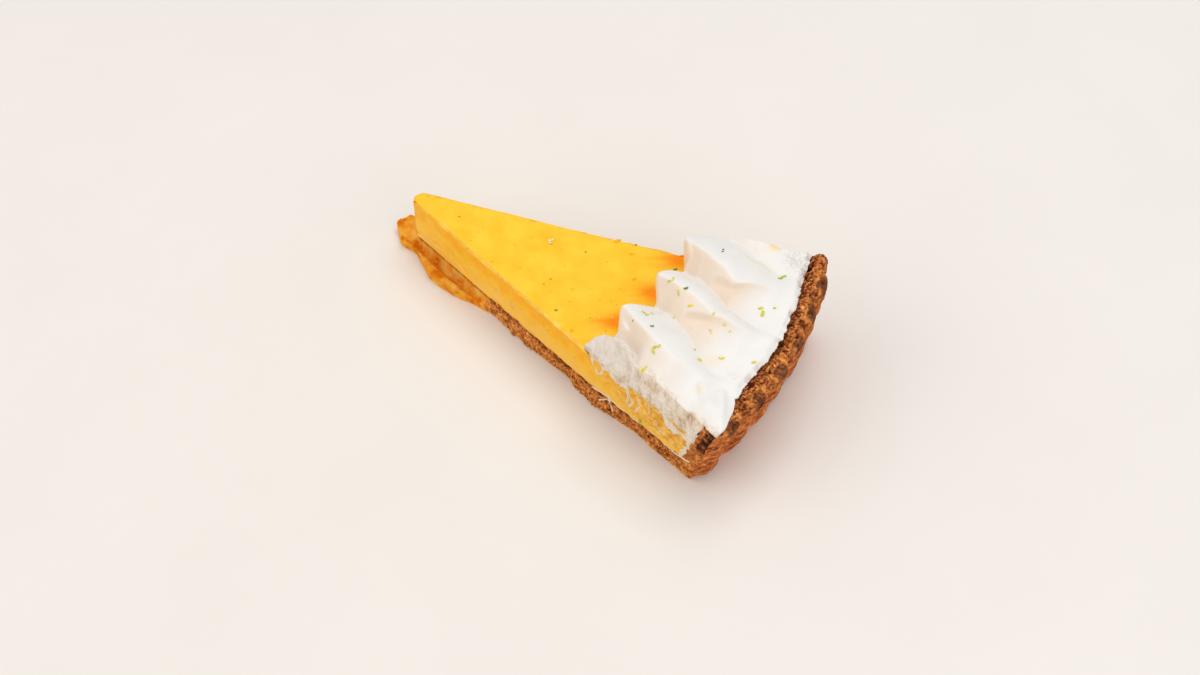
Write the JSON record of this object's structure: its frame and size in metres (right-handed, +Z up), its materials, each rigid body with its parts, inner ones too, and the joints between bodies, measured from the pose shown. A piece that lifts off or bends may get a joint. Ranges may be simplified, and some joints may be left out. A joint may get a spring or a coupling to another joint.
{
  "type": "lemon tart slice",
  "caption": "Wedge of lemon tart with a fluted browned pastry crust, a smooth yellow curd filling and piped white cream petals strewn with green zest along the rim.",
  "frame": {"origin": "on the resting plane, in the middle of the slice's bounding box", "axes": "+X along the slice from its tip to the fluted rim, +Z up"},
  "size_m": [0.1373, 0.072, 0.0381],
  "materials": {
    "pastry": "browned, crumbly baked pastry",
    "curd": "smooth satin set curd",
    "cream": "soft satin whipped cream"
  },
  "bodies": {
    "root": {"pastry_crust": "pastry", "lemon_curd": "curd", "piped_cream": "cream"}
  },
  "joints": []
}
